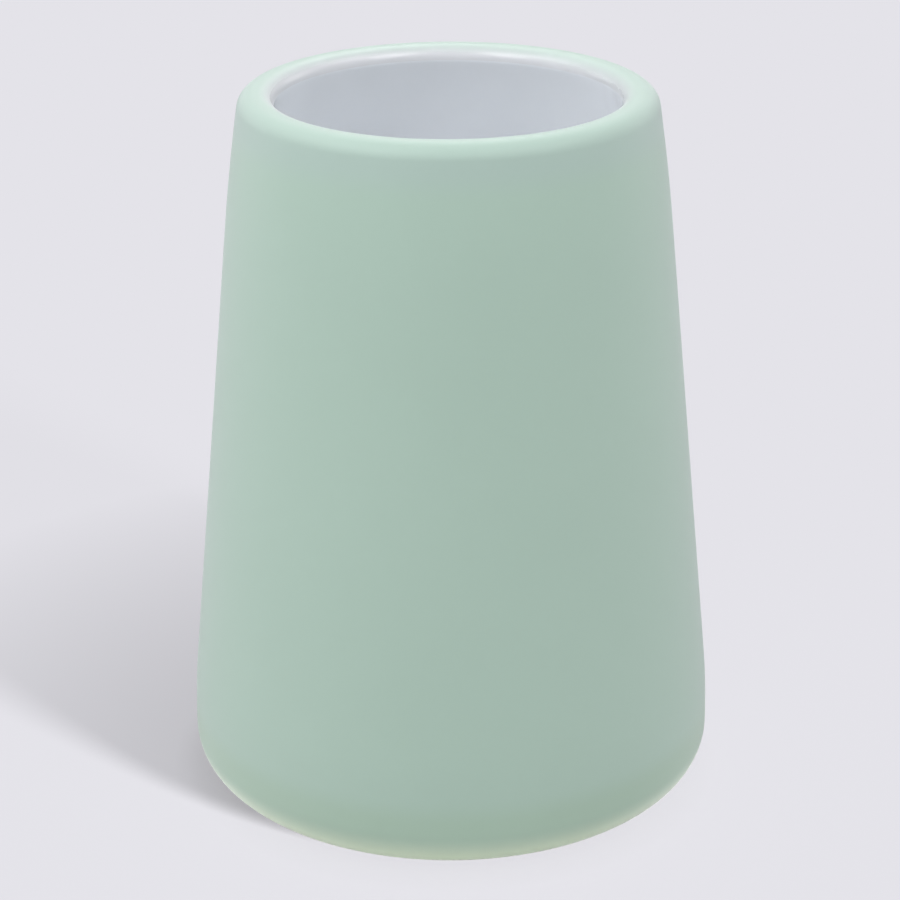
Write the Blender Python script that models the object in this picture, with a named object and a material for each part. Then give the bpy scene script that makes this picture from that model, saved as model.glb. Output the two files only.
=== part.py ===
"""A free-standing toothbrush tumbler: a cast ceramic cup, wider at the base than at the mouth.

It has a matte coat outside and over the rim, a glossy glaze inside and under the base, and four small pads on
its dry foot ring.

All lengths are in metres. The tumbler stands on the plane z = 0 and its axis is the Z axis.
"""

import math

import bmesh
import bpy
from mathutils import Matrix, Vector

# Overall sizes
OVERALL_HEIGHT = 0.108
WIDEST_DIAMETER = 0.080
WALL_THICKNESS = 0.005
FLOOR_THICKNESS = 0.006

# Outside of the cup: the corners of its outline, and the round at each
BELLY_HEIGHT = 0.0123
SHOULDER_DROP = 0.0133
SHOULDER_DIAMETER = 0.0641
RIM_CORNER_DIAMETER = 0.0603
BASE_ROUND = 0.0065
BELLY_ROUND = 0.115
SHOULDER_ROUND = 0.290
RIM_ROUND = 0.003

# Inside of the cup
MOUTH_ROUND = 0.00165
INSIDE_FLOOR_ROUND = 0.008

# Layers on the fired ceramic, and the space that keeps neighbouring solids apart
FINISH_THICKNESS = 0.0004
TOUCH_GAP = 0.0003
FINISH_DEPTH = FINISH_THICKNESS + TOUCH_GAP

# Dry foot ring and the recess inside it
FOOT_RING_WIDTH = 0.0126
RECESS_DEPTH = 0.0016
RECESS_ROUND = 0.0008
FOOT_EDGE = 0.0004
BASE_GLAZE_STOP = 0.0006

# Pads under the foot ring
PAD_DIAMETER = 0.008
PAD_THICKNESS = 0.001
PAD_EDGE = 0.0002
PAD_COUNT = 4
FIRST_PAD_ANGLE = math.radians(45)

# How far round the mouth's round the glaze reaches, and how far round the base's round the coat reaches
MOUTH_SEAM_SHARE = 0.86
BASE_SEAM_SHARE = 0.85

# Fineness of the turned shapes
CUP_SEGMENTS = 56
PAD_SEGMENTS = 24
SMALL_ROUND_STEPS = 4
BASE_ROUND_STEPS = 5
LONG_ROUND_STEPS = 2
RECESS_ROUND_STEPS = 3
MERGE_DISTANCE = 0.000001
SMOOTH_ANGLE = math.radians(35)

# The foot ring's plane stands on the pads
FOOT_PLANE = PAD_THICKNESS + TOUCH_GAP
CUP_HEIGHT = OVERALL_HEIGHT - FOOT_PLANE


def clear_scene():
    for old in list(bpy.data.objects):
        bpy.data.objects.remove(old, do_unlink=True)


def linear(channel):
    """One colour channel from its 0 to 255 display value to linear light."""
    value = channel / 255
    return value / 12.92 if value <= 0.04045 else ((value + 0.055) / 1.055) ** 2.4


def make_material(name, display_colour, roughness):
    material = bpy.data.materials.new(name)
    material.use_nodes = True
    shader = material.node_tree.nodes["Principled BSDF"]
    shader.inputs["Base Color"].default_value = (*(linear(channel) for channel in display_colour), 1)
    shader.inputs["Roughness"].default_value = roughness
    shader.inputs["Metallic"].default_value = 0
    return material


def fired_ceramic():
    return make_material("fired_ceramic", (226, 220, 208), 0.75)


def mint_soft_touch():
    return make_material("mint_soft_touch", (184, 208, 196), 0.55)


def white_glaze():
    return make_material("white_glaze", (238, 239, 241), 0.12)


def pad_foam():
    return make_material("pad_foam", (206, 206, 202), 0.85)


def outward(heading):
    """The side of an outline where the air is: to the left of the way that it runs."""
    return Vector((-heading.y, heading.x))


def room_along(run, neighbour_reach):
    """How far a round may reach along a run: up to the next round's end, but never less than half way."""
    return max(run.length - neighbour_reach, run.length / 2)


def fit_rounds(corners, radii):
    """Fits a round to each inner corner of an open outline of straight runs.

    Of rounds that would run into each other, the larger one shrinks until they fit. Each round comes back as
    its corner, the heading that leads to it, its turn, which is positive to the left, and its radius.
    """
    runs = [after - before for before, after in zip(corners, corners[1:])]
    turns = [math.atan2(a.cross(b), a.dot(b)) for a, b in zip(runs, runs[1:])]
    reaches = [0, *(radius * math.tan(abs(turn) / 2) for radius, turn in zip(radii, turns)), 0]
    fitted = []
    for index, (radius, turn) in enumerate(zip(radii, turns)):
        before, after = runs[index], runs[index + 1]
        room = min(room_along(before, reaches[index]), room_along(after, reaches[index + 2]))
        fit = room / max(room, reaches[index + 1])
        fitted.append((corners[index + 1], before.normalized(), turn, radius * fit))
    return fitted


def along_round(fitted, steps, start_share=0, end_share=1):
    """Stations along a round, each a point with the normal that points out of the material there."""
    corner, heading, turn, radius = fitted
    side = -1 if turn > 0 else 1
    normal = outward(heading)
    middle = corner - heading * radius * math.tan(abs(turn) / 2) - normal * radius * side
    stations = []
    for step in range(steps + 1):
        share = start_share + (end_share - start_share) * step / steps
        turned_normal = Matrix.Rotation(turn * share, 2) @ normal
        stations.append((middle + turned_normal * radius * side, turned_normal))
    return stations


def sunk(stations, depth):
    """The stations' points, moved into the material by a depth."""
    return [point - normal * depth for point, normal in stations]


def parallel_corner(before, corner, after, distance):
    """The corner of two runs that lie inside the given ones by a distance."""
    first, second = outward((corner - before).normalized()), outward((after - corner).normalized())
    return corner - (first + second) * distance / (1 + first.dot(second))


def at_height(point, direction, height):
    """Where a line through a point reaches a height."""
    return point + direction * (height - point.y) / direction.y


def cup_rounds():
    """The finished cup's rounds in order, from the inside floor up, over the rim and down to the foot."""
    rim = Vector((RIM_CORNER_DIAMETER / 2, CUP_HEIGHT))
    shoulder = Vector((SHOULDER_DIAMETER / 2, CUP_HEIGHT - SHOULDER_DROP))
    belly = Vector((WIDEST_DIAMETER / 2, BELLY_HEIGHT))
    foot = Vector((WIDEST_DIAMETER / 2, 0))
    inner_shoulder = parallel_corner(rim, shoulder, belly, WALL_THICKNESS)
    corners = [
        Vector((0, FLOOR_THICKNESS)),
        at_height(inner_shoulder, belly - shoulder, FLOOR_THICKNESS),
        inner_shoulder,
        at_height(inner_shoulder, rim - shoulder, CUP_HEIGHT),
        rim,
        shoulder,
        belly,
        foot,
        Vector((0, 0)),
    ]
    rounds = {
        "floor": INSIDE_FLOOR_ROUND,
        "inner_shoulder": SHOULDER_ROUND - WALL_THICKNESS,
        "mouth": MOUTH_ROUND,
        "rim": RIM_ROUND,
        "shoulder": SHOULDER_ROUND,
        "belly": BELLY_ROUND,
        "base": BASE_ROUND,
    }
    return dict(zip(rounds, fit_rounds(corners, rounds.values())))


def seam_half_share(mouth_round):
    """Half of the space between glaze and coat, as a share of the mouth's round at the layers' underside."""
    _, _, turn, radius = mouth_round
    return TOUCH_GAP / 2 / (abs(turn) * (radius - FINISH_THICKNESS))


def inside_stations(rounds, mouth_share):
    """The inside of the cup from the middle of its floor to a share of the mouth's round."""
    middle = (Vector((0, FLOOR_THICKNESS)), Vector((0, 1)))
    return [
        middle,
        *along_round(rounds["floor"], BASE_ROUND_STEPS),
        *along_round(rounds["inner_shoulder"], LONG_ROUND_STEPS),
        *along_round(rounds["mouth"], SMALL_ROUND_STEPS, 0, mouth_share),
    ]


def outside_stations(rounds, mouth_share):
    """The rest of the mouth's round, the rim, and the outside down to the coat's edge under the base."""
    return [
        *along_round(rounds["mouth"], 1, mouth_share, 1),
        *along_round(rounds["rim"], SMALL_ROUND_STEPS),
        *along_round(rounds["shoulder"], LONG_ROUND_STEPS),
        *along_round(rounds["belly"], LONG_ROUND_STEPS),
        *along_round(rounds["base"], BASE_ROUND_STEPS, 0, BASE_SEAM_SHARE),
    ]


def foot_ring_radius(rounds):
    """The dry foot ring's outer radius: it stands a touch gap inside the coat's edge."""
    coat_edge = sunk(outside_stations(rounds, MOUTH_SEAM_SHARE)[-1:], FINISH_THICKNESS)[0]
    return coat_edge.x - TOUCH_GAP


def recess_radius(rounds):
    """The radius of the opening in the dry foot ring."""
    return foot_ring_radius(rounds) - FOOT_RING_WIDTH


def recess_stations(rounds):
    """The finished recess under the base, from its wall's lower end to its middle."""
    radius = recess_radius(rounds) - FINISH_DEPTH
    lower_end = Vector((radius, BASE_GLAZE_STOP))
    corner = Vector((radius, RECESS_DEPTH))
    middle = Vector((0, RECESS_DEPTH))
    (recess_round,) = fit_rounds([lower_end, corner, middle], [RECESS_ROUND])
    return [
        (lower_end, Vector((-1, 0))),
        *along_round(recess_round, RECESS_ROUND_STEPS),
        (middle, Vector((0, -1))),
    ]


def turned(name, outline, segments, material):
    """Turns an outline round the Z axis.

    The outline runs down its outer side, and it closes on itself unless it starts on the axis.
    """
    shape = bmesh.new()
    points = [shape.verts.new((point.x, 0, point.y)) for point in outline]
    ends = list(zip(points, points[1:]))
    if outline[0].x > 0:
        ends.append((points[-1], points[0]))
    edges = [shape.edges.new(pair) for pair in ends]
    bmesh.ops.spin(
        shape, geom=points + edges, cent=(0, 0, 0), axis=(0, 0, 1), angle=2 * math.pi, steps=segments,
        use_merge=True,
    )
    bmesh.ops.remove_doubles(shape, verts=shape.verts, dist=MERGE_DISTANCE)
    bmesh.ops.recalc_face_normals(shape, faces=shape.faces)
    mesh = bpy.data.meshes.new(name)
    shape.to_mesh(mesh)
    shape.free()
    mesh.shade_smooth()
    mesh.set_sharp_from_angle(angle=SMOOTH_ANGLE)
    mesh.materials.append(material)
    return mesh


def place(name, mesh, location, parent):
    piece = bpy.data.objects.new(name, mesh)
    bpy.context.scene.collection.objects.link(piece)
    piece.location = location
    piece.parent = parent
    return piece


def ceramic_body_outline(rounds):
    """The fired cup under its layers: all of it lies a finish's depth down, but for the dry foot ring."""
    coated = sunk(outside_stations(rounds, MOUTH_SEAM_SHARE), FINISH_DEPTH)
    ring, recess = foot_ring_radius(rounds), recess_radius(rounds)
    foot_ring = [
        Vector((ring, coated[-1].y)), Vector((ring, FOOT_EDGE)), Vector((ring - FOOT_EDGE, 0)),
        Vector((recess + FOOT_EDGE, 0)), Vector((recess, FOOT_EDGE)),
    ]
    return [
        *sunk(inside_stations(rounds, MOUTH_SEAM_SHARE), FINISH_DEPTH),
        *coated[1:],
        *foot_ring,
        *sunk(recess_stations(rounds)[1:], FINISH_DEPTH),
    ]


def outer_coating_outline(rounds):
    """A thin closed skin over the outside and the rim."""
    stations = outside_stations(rounds, MOUTH_SEAM_SHARE + seam_half_share(rounds["mouth"]))
    return sunk(stations, 0) + sunk(stations, FINISH_THICKNESS)[::-1]


def interior_glaze_outline(rounds):
    """A thin lining of the floor and the inner wall, up to the coat."""
    stations = inside_stations(rounds, MOUTH_SEAM_SHARE - seam_half_share(rounds["mouth"]))
    return sunk(stations, 0) + sunk(stations, FINISH_THICKNESS)[::-1]


def base_glaze_outline(rounds):
    """A thin lining of the recess under the base."""
    stations = recess_stations(rounds)
    return sunk(stations, FINISH_THICKNESS)[::-1] + sunk(stations, 0)


def pad_outline():
    """A flat round pad with a small edge break on the side that it stands on."""
    radius = PAD_DIAMETER / 2
    return [
        Vector((0, PAD_THICKNESS)), Vector((radius, PAD_THICKNESS)), Vector((radius, PAD_EDGE)),
        Vector((radius - PAD_EDGE, 0)), Vector((0, 0)),
    ]


def add_cup(parent):
    """The ceramic cup and the three layers that are fired or sprayed on it."""
    rounds = cup_rounds()
    pieces = [
        ("ceramic_body", ceramic_body_outline(rounds), fired_ceramic()),
        ("outer_coating", outer_coating_outline(rounds), mint_soft_touch()),
        ("interior_glaze", interior_glaze_outline(rounds), white_glaze()),
        ("base_glaze", base_glaze_outline(rounds), white_glaze()),
    ]
    for name, outline, material in pieces:
        place(name, turned(name, outline, CUP_SEGMENTS, material), (0, 0, FOOT_PLANE), parent)


def add_pads(parent):
    """The pads, spaced evenly along the middle of the foot ring."""
    ring_middle = foot_ring_radius(cup_rounds()) - FOOT_RING_WIDTH / 2
    mesh = turned("anti_slip_pad", pad_outline(), PAD_SEGMENTS, pad_foam())
    for index in range(PAD_COUNT):
        angle = FIRST_PAD_ANGLE + 2 * math.pi * index / PAD_COUNT
        location = (ring_middle * math.cos(angle), ring_middle * math.sin(angle), 0)
        place(f"anti_slip_pad_{index + 1}", mesh, location, parent)


def main():
    clear_scene()
    tumbler = place("tumbler", None, (0, 0, 0), None)
    add_cup(tumbler)
    add_pads(tumbler)


main()
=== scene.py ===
import math

import bmesh
import bpy
from mathutils import Matrix, Vector


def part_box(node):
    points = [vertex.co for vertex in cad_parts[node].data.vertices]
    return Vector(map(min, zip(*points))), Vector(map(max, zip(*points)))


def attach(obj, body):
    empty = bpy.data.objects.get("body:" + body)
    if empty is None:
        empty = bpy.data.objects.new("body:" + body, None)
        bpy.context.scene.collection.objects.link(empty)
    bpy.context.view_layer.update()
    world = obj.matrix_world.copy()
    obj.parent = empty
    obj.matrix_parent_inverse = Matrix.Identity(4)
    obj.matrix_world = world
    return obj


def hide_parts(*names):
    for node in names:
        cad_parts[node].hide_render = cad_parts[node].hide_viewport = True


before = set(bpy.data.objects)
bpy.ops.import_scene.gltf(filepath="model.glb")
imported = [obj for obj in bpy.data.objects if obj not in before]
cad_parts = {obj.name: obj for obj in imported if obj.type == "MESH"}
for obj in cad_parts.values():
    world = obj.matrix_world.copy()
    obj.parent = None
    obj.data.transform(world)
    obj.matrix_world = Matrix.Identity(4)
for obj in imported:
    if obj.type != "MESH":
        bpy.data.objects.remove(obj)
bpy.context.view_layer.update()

# Sizes that the solids give. The tumbler stands on the origin, with its axis upright.
OVERALL_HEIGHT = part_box("outer_coating")[1].z
WIDEST_DIAMETER = 2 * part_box("outer_coating")[1].x
FOOT_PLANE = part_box("ceramic_body")[0].z
CUP_HEIGHT = OVERALL_HEIGHT - FOOT_PLANE
ORIGIN = (0, 0, 0)

# Walls, and the corners of the finished cup's outline with the round at each
WALL_THICKNESS = 0.005
FLOOR_THICKNESS = 0.006
BELLY_HEIGHT = 0.0123
SHOULDER_DROP = 0.0133
SHOULDER_DIAMETER = 0.0641
RIM_CORNER_DIAMETER = 0.0603
BASE_ROUND = 0.0065
BELLY_ROUND = 0.115
SHOULDER_ROUND = 0.290
RIM_ROUND = 0.0026
MOUTH_ROUND = 0.0022
LIP_EXTRA = 0.00045
INSIDE_FLOOR_ROUND = 0.008

# Layers: the coat thins out over the glaze inside the mouth and over the ceramic under the base
COAT_THICKNESS = 0.0004
LAYER_CLEARANCE = 0.00003
MOUTH_SEAM_SHARE = 0.12
BASE_SEAM_SHARE = 0.85
MOUTH_FEATHER = 0.0018
BASE_FEATHER = 0.0010
LEAST_COAT_SHARE = 0.05

# Depths under the finished outline: of the inner glaze under the full coat, of its back, and of the body
# behind it and behind the coat. The glaze under the base is as thick as the coat.
BURIED_GLAZE_DEPTH = COAT_THICKNESS + 2 * LAYER_CLEARANCE
GLAZE_BACK_DEPTH = BURIED_GLAZE_DEPTH + LAYER_CLEARANCE
GLAZED_BODY_DEPTH = GLAZE_BACK_DEPTH + LAYER_CLEARANCE
COATED_BODY_DEPTH = COAT_THICKNESS + LAYER_CLEARANCE

# Dry foot ring, and the glazed recess inside it
FOOT_RING_WIDTH = 0.0126
RECESS_DEPTH = 0.0016
RECESS_ROUND = 0.0008
FOOT_EDGE = 0.0004
BASE_GLAZE_STOP = 0.0006

# Pads, with their adhesive film
PAD_NODES = [name for name in sorted(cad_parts) if name.startswith("anti_slip_pad")]
PAD_EDGE_ROUND = 0.00025
FILM_THICKNESS = 0.0002
FILM_INSET = 0.0001

# Fineness of the turned surfaces
CUP_SEGMENTS = 160
PAD_SEGMENTS = 48
ROUND_STEP = 0.0003
ROUND_STEP_ANGLE = math.radians(6)
MOST_ROUND_STEPS = 24
MERGE_DISTANCE = 0.0000005
SHARP_ANGLE = math.radians(35)

# The span of levels that holds most of a noise
NOISE_SPAN = (0.3, 0.7)

# Matte coat: cloudy and grainy tone, roughness, fine bumps and sheen
MINT_LIGHT = (182, 209, 193)
MINT_DEEP = (180, 207, 191)
COAT_CLOUD_SIZE = 0.030
COAT_CLOUD_SHARE = 0.7
COAT_GRAIN_SIZE = 0.0004
COAT_ROUGHNESS = (0.48, 0.56)
COAT_BUMP_SIZE = 0.00025
COAT_BUMP_STRENGTH = 0.10
COAT_BUMP_DISTANCE = 0.00005
COAT_IOR = 1.45
SHEEN_WEIGHT = 0.58
SHEEN_ROUGHNESS = 0.5
SHEEN_TINT = (248, 250, 251)

# The spray's soft edge inside the mouth, as distances from a centre that lies a little off the axis, and
# the glaze that shows past it, painted a little darker than the glaze inside as a painted shade
FADE_CENTRE = (-0.0002, 0.0001, 0)
FADE_FULL_RADIUS = 0.0275
FADE_GONE_RADIUS = 0.0252
FADE_WANDER = 0.00015
FADE_WANDER_SIZE = 0.0015
PAINTED_SHADE_LIP_GLAZE = (225, 227, 231)
LIP_ROUGHNESS = 0.22

# Where the wall turns under, the coat is painted a little darker, a painted shade, and below that paler, a
# painted glow of the light that the floor gives back, both by height above the surface that the tumbler
# stands on
PAINTED_SHADE_START = 0.0140
PAINTED_SHADE_FULL = 0.0095
PAINTED_SHADE_FACTOR = (0.94, 0.955, 0.90)
PAINTED_FLOOR_LIGHT_START = 0.0078
PAINTED_FLOOR_LIGHT_FULL = 0.0038
PAINTED_FLOOR_LIGHT_MINT = (218, 238, 211)

# Towards the rim the coat is painted a little paler and less green, a painted sheen where the rim's top
# catches the light, by height in the same way
PAINTED_SHEEN_START = 0.1000
PAINTED_SHEEN_FULL = 0.1045
PAINTED_SHEEN_FACTOR = (1.005, 0.975, 1.03)

# Glossy glaze, with the faint waves of a fired surface
GLAZE_LIGHT = (241, 245, 250)
GLAZE_DEEP = (237, 241, 246)
GLAZE_CLOUD_SIZE = 0.012
GLAZE_ROUGHNESS = (0.10, 0.16)
GLAZE_ROUGHNESS_SIZE = 0.004
GLAZE_WAVE_SIZE = 0.006
GLAZE_WAVE_STRENGTH = 0.25
GLAZE_WAVE_DISTANCE = 0.0001
GLAZE_IOR = 1.5

# Dry ceramic, with sparse darker specks where a noise is high
CERAMIC_LIGHT = (232, 226, 214)
CERAMIC_DEEP = (214, 206, 192)
CERAMIC_GRAIN_SIZE = 0.0005
CERAMIC_ROUGHNESS = (0.72, 0.85)
CERAMIC_BUMP_SIZE = 0.0003
CERAMIC_BUMP_STRENGTH = 0.35
CERAMIC_BUMP_DISTANCE = 0.0001
SPECK_COLOUR = (172, 160, 142)
SPECK_SIZE = 0.0012
SPECK_SPAN = (0.70, 0.76)
SPECK_SHARE = 0.5

# Foam rubber, with its cells
FOAM_LIGHT = (214, 214, 210)
FOAM_DEEP = (196, 196, 192)
FOAM_CELL_SIZE = 0.0005
FOAM_CELL_REACH = 0.8
FOAM_CELL_STRENGTH = 0.4
FOAM_CELL_DISTANCE = 0.0001
FOAM_ROUGHNESS = (0.80, 0.92)
FOAM_ROUGHNESS_SIZE = 0.001

# Camera, from a fit of the outline: the photograph looks nearly 23 degrees down from above the rim. Sensor
# and lens are in millimetres.
CAMERA_DISTANCE = 0.3608
CAMERA_HEIGHT = 0.2016
CAMERA_PITCH = math.radians(22.55)
CAMERA_ROLL = math.radians(0.25)
SENSOR_WIDTH = 36
CAMERA_LENS = 102.93

# Stage: a backdrop, and a floor that gives light back and is paler close round the base
BLACK = (0, 0, 0)
BACKDROP_COLOUR = (228, 227, 233)
LIT_FLOOR_COLOUR = (197, 196, 202)
NEAR_FLOOR_COLOUR = (245, 243, 232)
NEAR_FLOOR_REACH = (0.039, 0.047)
FLOOR_SIZE = 6
FLOOR_GAP = 0.0001

# The share of the seen floor's light that the shadow takes, near the base and far from it, and what it
# takes besides right at the base. All round the base the floor is also painted a little dimmer, a painted
# contact shadow. Reaches are distances from the axis.
SHADOW_SHARES = (0.32, 0.03)
SHADOW_REACH = (0.04, 0.12)
CONTACT_SHARE = 0.12
CONTACT_REACH = (0.036, 0.044)
PAINTED_CONTACT_SHADE_SHARE = 0.06
PAINTED_CONTACT_SHADE_REACH = (0.034, 0.042)

# Far lamp that only throws the shadow: azimuth, elevation and spread in degrees, and its level on the floor
SHADOW_LAMP = (44, 10, 9)
SHADOW_LEVEL = 4

# Soft lamps round the tumbler, all as far away and as wide: azimuth and elevation in degrees, and level
LAMP_DISTANCE = 1.2
LAMP_SIZE = 0.62
SOFT_LAMPS = [
    (-45, 45, 0.455), (45, 45, 0.385), (-90, 45, 0.30), (90, 45, 0.175), (180, 45, 0.28), (-120, 12, 0.12),
    (120, 12, 0.14), (0, 80, 0.03),
]


def linear(channel):
    """One colour channel from its 0 to 255 display value to linear light."""
    value = channel / 255
    return value / 12.92 if value <= 0.04045 else ((value + 0.055) / 1.055) ** 2.4


def colour(display_colour):
    """A display colour as the linear colour with alpha that a socket takes."""
    return (*(linear(channel) for channel in display_colour), 1)


def outward(heading):
    """The side of an outline where the air is: to the left of the way that it runs."""
    return Vector((-heading.y, heading.x))


def fit_rounds(corners, radii):
    """Each round of an outline of straight runs: its corner, the heading to it, its turn and its radius."""
    runs = [after - before for before, after in zip(corners, corners[1:])]
    turns = [math.atan2(run.cross(next_run), run.dot(next_run)) for run, next_run in zip(runs, runs[1:])]
    return [
        (corner, run.normalized(), turn, radius)
        for corner, run, turn, radius in zip(corners[1:], runs, turns, radii)
    ]


def along_round(fitted, start_share=0, end_share=1):
    """Stations along a round, each a point with the normal that points out of the material there."""
    corner, heading, turn, radius = fitted
    side = -1 if turn > 0 else 1
    normal = outward(heading)
    middle = corner - heading * radius * math.tan(abs(turn) / 2) - normal * radius * side
    swept = abs(turn) * (end_share - start_share)
    steps = max(2, math.ceil(swept / ROUND_STEP_ANGLE), math.ceil(swept * radius / ROUND_STEP))
    steps = min(steps, MOST_ROUND_STEPS)
    stations = []
    for step in range(steps + 1):
        share = start_share + (end_share - start_share) * step / steps
        turned_normal = Matrix.Rotation(turn * share, 2) @ normal
        stations.append((middle + turned_normal * radius * side, turned_normal))
    return stations


def sunk(stations, depth):
    """The stations' points, moved into the material by a depth."""
    return [point - normal * depth for point, normal in stations]


def parallel_corner(before, corner, after, distance):
    """The corner of two runs that lie inside the given ones by a distance."""
    first, second = outward((corner - before).normalized()), outward((after - corner).normalized())
    return corner - (first + second) * distance / (1 + first.dot(second))


def at_height(point, direction, height):
    """Where a line through a point reaches a height."""
    return point + direction * (height - point.y) / direction.y


def cup_rounds():
    """The finished cup's rounds in order, from the inside floor up, over the rim and down to the foot."""
    rim = Vector((RIM_CORNER_DIAMETER / 2, CUP_HEIGHT))
    shoulder = Vector((SHOULDER_DIAMETER / 2, CUP_HEIGHT - SHOULDER_DROP))
    belly = Vector((WIDEST_DIAMETER / 2, BELLY_HEIGHT))
    foot = Vector((WIDEST_DIAMETER / 2, 0))
    inner_shoulder = parallel_corner(rim, shoulder, belly, WALL_THICKNESS)
    corners = [
        Vector((0, FLOOR_THICKNESS)),
        at_height(inner_shoulder, belly - shoulder, FLOOR_THICKNESS),
        inner_shoulder,
        at_height(inner_shoulder, rim - shoulder, CUP_HEIGHT) - Vector((LIP_EXTRA, 0)),
        rim,
        shoulder,
        belly,
        foot,
        Vector((0, 0)),
    ]
    rounds = {
        "floor": INSIDE_FLOOR_ROUND,
        "inner_shoulder": SHOULDER_ROUND - WALL_THICKNESS,
        "mouth": MOUTH_ROUND,
        "rim": RIM_ROUND,
        "shoulder": SHOULDER_ROUND,
        "belly": BELLY_ROUND,
        "base": BASE_ROUND,
    }
    return dict(zip(rounds, fit_rounds(corners, rounds.values())))


def inside_stations(rounds):
    """The inside of the cup from the middle of its floor to the coat's edge on the mouth's round."""
    return [
        (Vector((0, FLOOR_THICKNESS)), Vector((0, 1))),
        *along_round(rounds["floor"]),
        *along_round(rounds["inner_shoulder"]),
        *along_round(rounds["mouth"], 0, MOUTH_SEAM_SHARE),
    ]


def mouth_stations(rounds):
    """The rest of the mouth's round, from the coat's edge to the top."""
    return along_round(rounds["mouth"], MOUTH_SEAM_SHARE, 1)


def outside_stations(rounds):
    """The rim and the outside, down to the coat's edge under the base."""
    return [
        *along_round(rounds["rim"]),
        *along_round(rounds["shoulder"]),
        *along_round(rounds["belly"]),
        *along_round(rounds["base"], 0, BASE_SEAM_SHARE),
    ]


def foot_ring_radius(rounds):
    """The dry foot ring's outer radius: it stands a clearance inside the coat's edge."""
    return sunk(outside_stations(rounds)[-1:], COAT_THICKNESS)[0].x - LAYER_CLEARANCE


def recess_stations(rounds):
    """The glazed recess under the base, from its wall's lower end to its middle."""
    radius = foot_ring_radius(rounds) - FOOT_RING_WIDTH - COATED_BODY_DEPTH
    lower_end = Vector((radius, BASE_GLAZE_STOP))
    corner = Vector((radius, RECESS_DEPTH))
    middle = Vector((0, RECESS_DEPTH))
    (recess_round,) = fit_rounds([lower_end, corner, middle], [RECESS_ROUND])
    return [(lower_end, Vector((-1, 0))), *along_round(recess_round), (middle, Vector((0, -1)))]


def smooth_step(share):
    """A share from 0 to 1, eased at both ends."""
    share = max(0, min(1, share))
    return share * share * (3 - 2 * share)


def rising(stations, length):
    """A share for each station that rises smoothly from 0 at the first to 1 a length further on."""
    travelled = 0
    shares = [0]
    for (before, _), (after, _) in zip(stations, stations[1:]):
        travelled += (after - before).length
        shares.append(smooth_step(travelled / length))
    return shares


def sunk_each(stations, depths):
    """The stations' points, each moved into the material by its own depth."""
    return [point - normal * depth for (point, normal), depth in zip(stations, depths)]


def coat_outline(rounds):
    """The coat, which thins out to nothing on the glaze in the mouth and nearly so under the base."""
    stations = mouth_stations(rounds) + outside_stations(rounds)
    from_mouth = rising(stations, MOUTH_FEATHER)
    from_base = rising(stations[::-1], BASE_FEATHER)[::-1]
    top = [
        LAYER_CLEARANCE * (1 - mouth) + COAT_THICKNESS * (1 - LEAST_COAT_SHARE) * (1 - base)
        for mouth, base in zip(from_mouth, from_base)
    ]
    under = [LAYER_CLEARANCE * (1 - mouth) + COAT_THICKNESS * mouth for mouth in from_mouth]
    return sunk_each(stations, top) + sunk_each(stations, under)[:0:-1]


def lining_outline(rounds):
    """The inner glaze, which runs on under the coat's thin edge and ends where the coat is full."""
    inside = inside_stations(rounds)
    covered = list(zip(mouth_stations(rounds), rising(mouth_stations(rounds), MOUTH_FEATHER)))[1:]
    covered = [(station, share) for station, share in covered if share < 1]
    stations = inside + [station for station, _ in covered]
    top = [LAYER_CLEARANCE] * len(inside)
    deeper = BURIED_GLAZE_DEPTH - LAYER_CLEARANCE
    top += [LAYER_CLEARANCE + deeper * share for _, share in covered]
    return sunk_each(stations, top) + sunk(stations, GLAZE_BACK_DEPTH)[::-1]


def body_outline(rounds):
    """The fired cup under its layers, with the dry foot ring that shows from below."""
    lined = sunk(inside_stations(rounds) + mouth_stations(rounds), GLAZED_BODY_DEPTH)
    coated = sunk(outside_stations(rounds), COATED_BODY_DEPTH)
    ring = foot_ring_radius(rounds)
    recess = ring - FOOT_RING_WIDTH
    foot_ring = [
        Vector((ring, coated[-1].y)), Vector((ring, FOOT_EDGE)), Vector((ring - FOOT_EDGE, 0)),
        Vector((recess + FOOT_EDGE, 0)), Vector((recess, FOOT_EDGE)),
    ]
    behind_glaze = sunk(recess_stations(rounds)[1:], COATED_BODY_DEPTH)
    return lined + coated + foot_ring + behind_glaze


def base_glaze_outline(rounds):
    """The glaze in the recess, with a thin lower edge."""
    stations = recess_stations(rounds)
    shares = rising(stations, BASE_FEATHER)
    top = [COAT_THICKNESS * (1 - LEAST_COAT_SHARE) * (1 - share) for share in shares]
    return sunk(stations, COAT_THICKNESS)[::-1] + sunk_each(stations, top)


def pad_outline(radius, height):
    """A foam disc with rounded edges, and on it a smaller film of adhesive."""
    foam_top = height - FILM_THICKNESS
    corners = [
        Vector((0, foam_top)), Vector((radius, foam_top)), Vector((radius, 0)), Vector((0, 0)),
    ]
    upper, lower = fit_rounds(corners, [PAD_EDGE_ROUND, PAD_EDGE_ROUND])
    film = [
        Vector((0, height)), Vector((radius - PAD_EDGE_ROUND - FILM_INSET, height)),
        Vector((radius - PAD_EDGE_ROUND - FILM_INSET, foam_top)),
    ]
    foam = [point for point, _ in along_round(upper) + along_round(lower)]
    return film + foam + corners[-1:]


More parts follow.
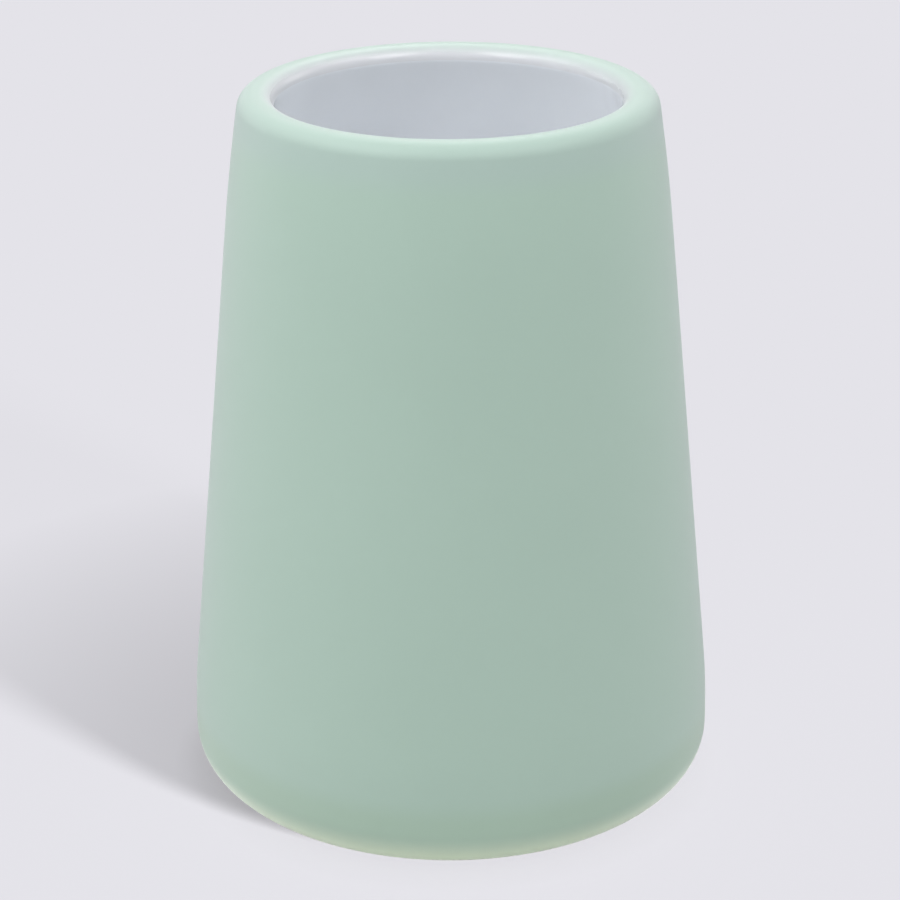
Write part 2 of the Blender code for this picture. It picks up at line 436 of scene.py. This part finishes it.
def turned(name, outline, segments, material, location):
    """A piece turned round the Z axis. Its outline runs down the outer side, and closes unless it starts on
    the axis."""
    shape = bmesh.new()
    points = [shape.verts.new((point.x, 0, point.y)) for point in outline]
    ends = list(zip(points, points[1:]))
    if outline[0].x > 0:
        ends.append((points[-1], points[0]))
    edges = [shape.edges.new(pair) for pair in ends]
    bmesh.ops.spin(
        shape, geom=points + edges, cent=ORIGIN, axis=(0, 0, 1), angle=2 * math.pi, steps=segments,
        use_merge=True,
    )
    bmesh.ops.remove_doubles(shape, verts=shape.verts, dist=MERGE_DISTANCE)
    bmesh.ops.recalc_face_normals(shape, faces=shape.faces)
    bmesh.ops.translate(shape, verts=shape.verts, vec=location)
    mesh = bpy.data.meshes.new(name)
    shape.to_mesh(mesh)
    shape.free()
    mesh.shade_smooth()
    mesh.set_sharp_from_angle(angle=SHARP_ANGLE)
    mesh.materials.append(material)
    piece = bpy.data.objects.new(name, mesh)
    bpy.context.scene.collection.objects.link(piece)
    return piece


def stand_for(piece, node):
    """The whole tumbler is one body, and each piece here takes the place of one solid."""
    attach(piece, "root")
    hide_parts(node)


class Tree:
    """A short way to build a material: most calls add nodes and return the output to link on."""

    def __init__(self, name):
        self.material = bpy.data.materials.new(name)
        self.material.use_nodes = True
        self.nodes = self.material.node_tree.nodes
        self.links = self.material.node_tree.links
        self.shader = self.nodes["Principled BSDF"]
        self.place = self.nodes.new("ShaderNodeTexCoord").outputs["Object"]

    def feed(self, socket, value):
        if isinstance(value, bpy.types.NodeSocket):
            self.links.new(value, socket)
        else:
            socket.default_value = value

    def node(self, kind, output, settings=None, **inputs):
        made = self.nodes.new(kind)
        for key, value in (settings or {}).items():
            setattr(made, key, value)
        for key, value in inputs.items():
            self.feed(made.inputs[key.replace("_", " ")], value)
        return made.outputs[output]

    def noise(self, size, detail=2, roughness=0.5):
        """Noise from 0 to 1 whose features measure about the given size."""
        return self.node(
            "ShaderNodeTexNoise", "Fac", Vector=self.place, Scale=1 / size, Detail=detail,
            Roughness=roughness,
        )

    def mapped(self, value, low, high, to_low, to_high, kind="LINEAR"):
        return self.node(
            "ShaderNodeMapRange", "Result", {"interpolation_type": kind}, Value=value, From_Min=low,
            From_Max=high, To_Min=to_low, To_Max=to_high,
        )

    def spread(self, size, low=0, high=1, detail=2, roughness=0.5):
        """Noise stretched so that most of it runs from a low to a high value."""
        return self.mapped(self.noise(size, detail, roughness), *NOISE_SPAN, low, high)

    def eased(self, value, start, full):
        """A share that is 0 at a start and before it, and eases to 1 where it is full."""
        return self.mapped(value, start, full, 0, 1, "SMOOTHSTEP")

    def mix(self, share, first, second):
        made = self.nodes.new("ShaderNodeMix")
        made.data_type = "RGBA"
        self.feed(made.inputs["Factor"], share)
        self.feed(made.inputs["A"], first)
        self.feed(made.inputs["B"], second)
        return made.outputs["Result"]

    def sums(self, operation, first, second):
        made = self.nodes.new("ShaderNodeMath")
        made.operation = operation
        self.feed(made.inputs[0], first)
        self.feed(made.inputs[1], second)
        return made.outputs[0]

    def vector(self, operation, first, second=None, output="Vector"):
        made = self.nodes.new("ShaderNodeVectorMath")
        made.operation = operation
        self.feed(made.inputs[0], first)
        if second is not None:
            self.feed(made.inputs[1], second)
        return made.outputs[output]

    def bump(self, height, strength, distance):
        return self.node("ShaderNodeBump", "Normal", Height=height, Strength=strength, Distance=distance)

    def finish(self, base, roughness, normal, **constants):
        """Links what varies, and sets what doesn't on the shader's own sockets."""
        self.feed(self.shader.inputs["Base Color"], base)
        self.feed(self.shader.inputs["Roughness"], roughness)
        self.feed(self.shader.inputs["Normal"], normal)
        for key, value in constants.items():
            self.shader.inputs[key.replace("_", " ")].default_value = value
        return self.material


def level_distance(tree, centre):
    """How far a point lies from an upright line through a centre."""
    from_centre = tree.vector("SUBTRACT", tree.place, centre)
    return tree.vector("LENGTH", tree.vector("MULTIPLY", from_centre, (1, 1, 0)), output="Value")


def mint_soft_touch():
    """Matte sprayed lacquer: cloudy in tone, finely grained, fading to the glaze inside the mouth, with
    painted light and shade.
    """
    tree = Tree("mint_soft_touch_coat")
    wander = tree.mapped(tree.noise(FADE_WANDER_SIZE, detail=3), 0, 1, -FADE_WANDER, FADE_WANDER)
    radius = tree.sums("ADD", level_distance(tree, FADE_CENTRE), wander)
    bare = tree.mapped(radius, FADE_GONE_RADIUS, FADE_FULL_RADIUS, 1, 0)
    cover = tree.sums("SUBTRACT", 1, tree.sums("MULTIPLY", bare, bare))
    cloud = tree.spread(COAT_CLOUD_SIZE, detail=3)
    grain = tree.spread(COAT_GRAIN_SIZE)
    cloud_part = tree.sums("MULTIPLY", cloud, COAT_CLOUD_SHARE)
    grain_part = tree.sums("MULTIPLY", grain, 1 - COAT_CLOUD_SHARE)
    tone = tree.sums("ADD", cloud_part, grain_part)
    mint = tree.mix(tone, colour(MINT_DEEP), colour(MINT_LIGHT))
    height = tree.node("ShaderNodeSeparateXYZ", "Z", Vector=tree.place)
    # Painted sheen: paler and less green towards the rim
    rim = tree.eased(height, PAINTED_SHEEN_START, PAINTED_SHEEN_FULL)
    mint = tree.mix(rim, mint, tree.vector("MULTIPLY", mint, PAINTED_SHEEN_FACTOR))
    # Painted shade: a little darker where the wall turns under
    painted_shade = tree.eased(height, PAINTED_SHADE_START, PAINTED_SHADE_FULL)
    mint = tree.mix(painted_shade, mint, tree.vector("MULTIPLY", mint, PAINTED_SHADE_FACTOR))
    # Painted light: paler near the foot, standing in for the light that the floor gives back
    thin = tree.eased(height, PAINTED_FLOOR_LIGHT_START, PAINTED_FLOOR_LIGHT_FULL)
    mint = tree.mix(thin, mint, colour(PAINTED_FLOOR_LIGHT_MINT))
    # The glaze past the spray is painted a little darker than the inner glaze: a painted shade
    base = tree.mix(cover, colour(PAINTED_SHADE_LIP_GLAZE), mint)
    matte = tree.mapped(grain, 0, 1, *COAT_ROUGHNESS)
    rougher = tree.sums("MULTIPLY", cover, tree.sums("SUBTRACT", matte, LIP_ROUGHNESS))
    roughness = tree.sums("ADD", LIP_ROUGHNESS, rougher)
    strength = tree.sums("MULTIPLY", cover, COAT_BUMP_STRENGTH)
    normal = tree.bump(tree.noise(COAT_BUMP_SIZE), strength, COAT_BUMP_DISTANCE)
    return tree.finish(
        base, roughness, normal, IOR=COAT_IOR, Sheen_Weight=SHEEN_WEIGHT, Sheen_Roughness=SHEEN_ROUGHNESS,
        Sheen_Tint=colour(SHEEN_TINT),
    )


def white_glaze():
    """Glossy glaze: nearly even in tone, with the faint waviness of a fired surface."""
    tree = Tree("white_glaze_gloss")
    cloud = tree.spread(GLAZE_CLOUD_SIZE, detail=3)
    base = tree.mix(cloud, colour(GLAZE_DEEP), colour(GLAZE_LIGHT))
    roughness = tree.spread(GLAZE_ROUGHNESS_SIZE, *GLAZE_ROUGHNESS, detail=3)
    normal = tree.bump(tree.noise(GLAZE_WAVE_SIZE), GLAZE_WAVE_STRENGTH, GLAZE_WAVE_DISTANCE)
    return tree.finish(base, roughness, normal, IOR=GLAZE_IOR)


def fired_ceramic():
    """Dry ceramic of the foot ring: fine-grained, with sparse darker specks."""
    tree = Tree("fired_ceramic_dry")
    grain = tree.spread(CERAMIC_GRAIN_SIZE, detail=4, roughness=0.65)
    body = tree.mix(grain, colour(CERAMIC_DEEP), colour(CERAMIC_LIGHT))
    speck = tree.mapped(tree.noise(SPECK_SIZE, detail=1), *SPECK_SPAN, 0, SPECK_SHARE)
    base = tree.mix(speck, body, colour(SPECK_COLOUR))
    roughness = tree.mapped(grain, 0, 1, *CERAMIC_ROUGHNESS)
    bumps = tree.noise(CERAMIC_BUMP_SIZE, detail=3)
    normal = tree.bump(bumps, CERAMIC_BUMP_STRENGTH, CERAMIC_BUMP_DISTANCE)
    return tree.finish(base, roughness, normal)


def pad_foam():
    """Closed-cell foam rubber: pale grey, dull, with small cells."""
    tree = Tree("pad_foam_rubber")
    cells = tree.node("ShaderNodeTexVoronoi", "Distance", Vector=tree.place, Scale=1 / FOAM_CELL_SIZE)
    tone = tree.mapped(cells, 0, FOAM_CELL_REACH, 0, 1)
    base = tree.mix(tone, colour(FOAM_DEEP), colour(FOAM_LIGHT))
    roughness = tree.spread(FOAM_ROUGHNESS_SIZE, *FOAM_ROUGHNESS)
    normal = tree.bump(cells, FOAM_CELL_STRENGTH, FOAM_CELL_DISTANCE)
    return tree.finish(base, roughness, normal)


def add_cup():
    rounds = cup_rounds()
    glaze = white_glaze()
    pieces = [
        ("fired_cup", "ceramic_body", body_outline(rounds), fired_ceramic(), "fired_ceramic"),
        ("mint_coat", "outer_coating", coat_outline(rounds), mint_soft_touch(), "mint_soft_touch"),
        ("inner_glaze", "interior_glaze", lining_outline(rounds), glaze, "white_glaze"),
        ("recess_glaze", "base_glaze", base_glaze_outline(rounds), glaze, "white_glaze"),
    ]
    made = []
    for name, node, outline, material, slot in pieces:
        piece = turned(name, outline, CUP_SEGMENTS, material, (0, 0, FOOT_PLANE))
        stand_for(piece, node)
        made.append(piece)
    return made


def add_pads():
    foam = pad_foam()
    made = []
    for index, node in enumerate(PAD_NODES):
        low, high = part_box(node)
        middle = (low + high) / 2
        outline = pad_outline((high.x - low.x) / 2, FOOT_PLANE - low.z - LAYER_CLEARANCE)
        piece = turned(f"foam_pad_{index + 1}", outline, PAD_SEGMENTS, foam, (middle.x, middle.y, low.z))
        stand_for(piece, node)
        made.append(piece)
    return made


def add_camera():
    data = bpy.data.cameras.new("camera")
    data.sensor_width = SENSOR_WIDTH
    data.lens = CAMERA_LENS
    camera = bpy.data.objects.new("camera", data)
    bpy.context.scene.collection.objects.link(camera)
    camera.matrix_world = (
        Matrix.Translation((0, -CAMERA_DISTANCE, CAMERA_HEIGHT))
        @ Matrix.Rotation(math.pi / 2 - CAMERA_PITCH, 4, "X")
        @ Matrix.Rotation(-CAMERA_ROLL, 4, "Z")
    )
    bpy.context.scene.camera = camera


def add_plane(name, height, material):
    mesh = bpy.data.meshes.new(name)
    shape = bmesh.new()
    bmesh.ops.create_grid(shape, x_segments=1, y_segments=1, size=FLOOR_SIZE / 2)
    shape.to_mesh(mesh)
    shape.free()
    mesh.materials.append(material)
    plane = bpy.data.objects.new(name, mesh)
    plane.location.z = height
    bpy.context.scene.collection.objects.link(plane)
    return plane


def dull(tree):
    """A surface without any gloss."""
    tree.feed(tree.shader.inputs["Roughness"], 1)
    tree.feed(tree.shader.inputs["Specular IOR Level"], 0)
    return tree.material


def seen_floor_surface():
    """The backdrop's colour: it reflects the share that a shadow may take, and glows by the rest, less a
    painted shade close round the base.
    """
    tree = Tree("seen_floor")
    distance = level_distance(tree, ORIGIN)
    contact = tree.mapped(distance, *CONTACT_REACH, CONTACT_SHARE, 0)
    share = tree.sums("ADD", tree.mapped(distance, *SHADOW_REACH, *SHADOW_SHARES), contact)
    reflecting = tree.mapped(share, 0, 1, 0, 1 / SHADOW_LEVEL)
    # Painted shade: the floor glows a little less close round the base
    painted_contact_shade = tree.mapped(distance, *PAINTED_CONTACT_SHADE_REACH, PAINTED_CONTACT_SHADE_SHARE, 0)
    glow = tree.sums("SUBTRACT", 1, tree.sums("ADD", share, painted_contact_shade))
    reflected = tree.mix(reflecting, colour(BLACK), colour(BACKDROP_COLOUR))
    tree.feed(tree.shader.inputs["Base Color"], reflected)
    tree.feed(tree.shader.inputs["Emission Color"], colour(BACKDROP_COLOUR))
    tree.feed(tree.shader.inputs["Emission Strength"], glow)
    return dull(tree)


def lit_floor_surface():
    tree = Tree("lit_floor")
    near = tree.mapped(level_distance(tree, ORIGIN), *NEAR_FLOOR_REACH, 1, 0)
    base = tree.mix(near, colour(LIT_FLOOR_COLOUR), colour(NEAR_FLOOR_COLOUR))
    tree.feed(tree.shader.inputs["Base Color"], base)
    return dull(tree)


def add_floors():
    """Two floors in one place: one that is seen, and takes the shadow, and one that gives light back."""
    seen_floor = add_plane("seen_floor", 0, seen_floor_surface())
    seen_floor.visible_diffuse = seen_floor.visible_shadow = False
    lit_floor = add_plane("lit_floor", -FLOOR_GAP, lit_floor_surface())
    lit_floor.visible_camera = lit_floor.visible_glossy = lit_floor.visible_transmission = False
    return seen_floor, lit_floor


def direction(azimuth, elevation):
    """Towards a lamp. Azimuth 0 is the camera's side and 90 is at the right."""
    azimuth, elevation = math.radians(azimuth), math.radians(elevation)
    level_share = math.cos(elevation)
    return Vector((math.sin(azimuth) * level_share, -math.cos(azimuth) * level_share, math.sin(elevation)))


def add_lamp(data, towards, receivers):
    lamp = bpy.data.objects.new(data.name, data)
    bpy.context.scene.collection.objects.link(lamp)
    lamp.location = Vector((0, 0, OVERALL_HEIGHT / 2)) + towards * LAMP_DISTANCE
    lamp.rotation_mode = "QUATERNION"
    lamp.rotation_quaternion = towards.to_track_quat("Z", "Y")
    lamp.light_linking.receiver_collection = receivers
    return lamp


def add_soft_lamp(azimuth, elevation, level, receivers):
    """A soft lamp that would light a white card facing it to a level, where 1 is white."""
    data = bpy.data.lights.new(f"soft_lamp_{azimuth}_{elevation}", "AREA")
    data.shape = "DISK"
    data.size = LAMP_SIZE
    data.energy = level * math.pi ** 2 * LAMP_DISTANCE ** 2
    return add_lamp(data, direction(azimuth, elevation), receivers)


def add_shadow_lamp(azimuth, elevation, spread, receivers):
    """A far lamp, so strong that what the seen floor reflects and what it glows add up to its colour."""
    data = bpy.data.lights.new("shadow_lamp", "SUN")
    data.angle = math.radians(spread)
    data.energy = SHADOW_LEVEL * math.pi / math.sin(math.radians(elevation))
    return add_lamp(data, direction(azimuth, elevation), receivers)


def group(name, members):
    made = bpy.data.collections.new(name)
    for member in members:
        made.objects.link(member)
    return made


def add_lights(pieces):
    seen_floor, lit_floor = add_floors()
    soft = group("takes_soft_light", [*pieces, lit_floor])
    shadowed = group("takes_shadow", [seen_floor])
    for azimuth, elevation, level in SOFT_LAMPS:
        add_soft_lamp(azimuth, elevation, level, soft)
    add_shadow_lamp(*SHADOW_LAMP, shadowed)


def add_world():
    """The backdrop's colour for the camera, reflections and what is seen through a surface. It lights
    nothing."""
    world = bpy.data.worlds.new("studio")
    bpy.context.scene.world = world
    world.use_nodes = True
    nodes, links = world.node_tree.nodes, world.node_tree.links
    background = nodes["Background"]
    background.inputs["Color"].default_value = colour(BACKDROP_COLOUR)
    rays = nodes.new("ShaderNodeLightPath")
    strength = rays.outputs["Is Camera Ray"]
    for kind in ("Is Glossy Ray", "Is Transmission Ray"):
        either = nodes.new("ShaderNodeMath")
        either.operation = "MAXIMUM"
        links.new(strength, either.inputs[0])
        links.new(rays.outputs[kind], either.inputs[1])
        strength = either.outputs[0]
    links.new(strength, background.inputs["Strength"])


def main():
    pieces = add_cup() + add_pads()
    add_camera()
    add_world()
    add_lights(pieces)
    bpy.context.scene.view_settings.view_transform = "Standard"


main()
